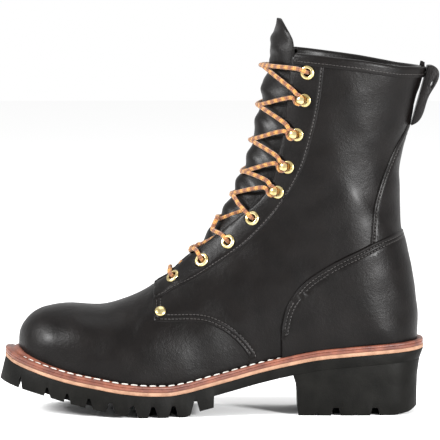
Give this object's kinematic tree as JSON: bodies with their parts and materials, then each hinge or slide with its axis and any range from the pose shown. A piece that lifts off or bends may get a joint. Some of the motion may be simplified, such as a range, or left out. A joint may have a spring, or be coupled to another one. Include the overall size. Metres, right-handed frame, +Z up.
{
  "type": "logger boot",
  "caption": "Tall laced logger boot for the left foot: hollow leather shaft and plain vamp, storm welt, lugged rubber sole and a high heel block.",
  "frame": {"origin": "on the floor under the middle of the heel block", "axes": "+Z up, +X from the toe towards the back of the heel, +Y towards the boot's inner side"},
  "size_m": [0.3248, 0.1112, 0.2909],
  "materials": {
    "black_leather": "oiled, soft sheen",
    "black_rubber": "matt",
    "welt_brown": "waxed edge",
    "midsole_tan": "raw edge",
    "brass": "polished",
    "cord": "braided"
  },
  "bodies": {
    "root": {"backstay": "black_leather", "collar_binding": "black_leather", "eyelet_inner_1": "brass", "eyelet_inner_2": "brass", "eyelet_inner_3": "brass", "eyelet_inner_4": "brass", "eyelet_inner_5": "brass", "eyelet_outer_1": "brass", "eyelet_outer_2": "brass", "eyelet_outer_3": "brass", "eyelet_outer_4": "brass", "eyelet_outer_5": "brass", "heel": "black_rubber", "heel_counter": "black_leather", "hook_inner_1": "brass", "hook_inner_2": "brass", "hook_inner_3": "brass", "hook_inner_4": "brass", "hook_outer_1": "brass", "hook_outer_2": "brass", "hook_outer_3": "brass", "hook_outer_4": "brass", "insole": "black_leather", "lace_bar": "cord", "lace_crossing_1": "cord", "lace_crossing_2": "cord", "lace_crossing_3": "cord", "lace_crossing_4": "cord", "lace_crossing_5": "cord", "lace_crossing_6": "cord", "lace_crossing_7": "cord", "midsole": "midsole_tan", "outsole": "black_rubber", "pull_loop": "black_leather", "rivet_inner": "brass", "rivet_outer": "brass", "tongue": "black_leather", "upper": "black_leather", "welt": "welt_brown"}
  },
  "joints": []
}
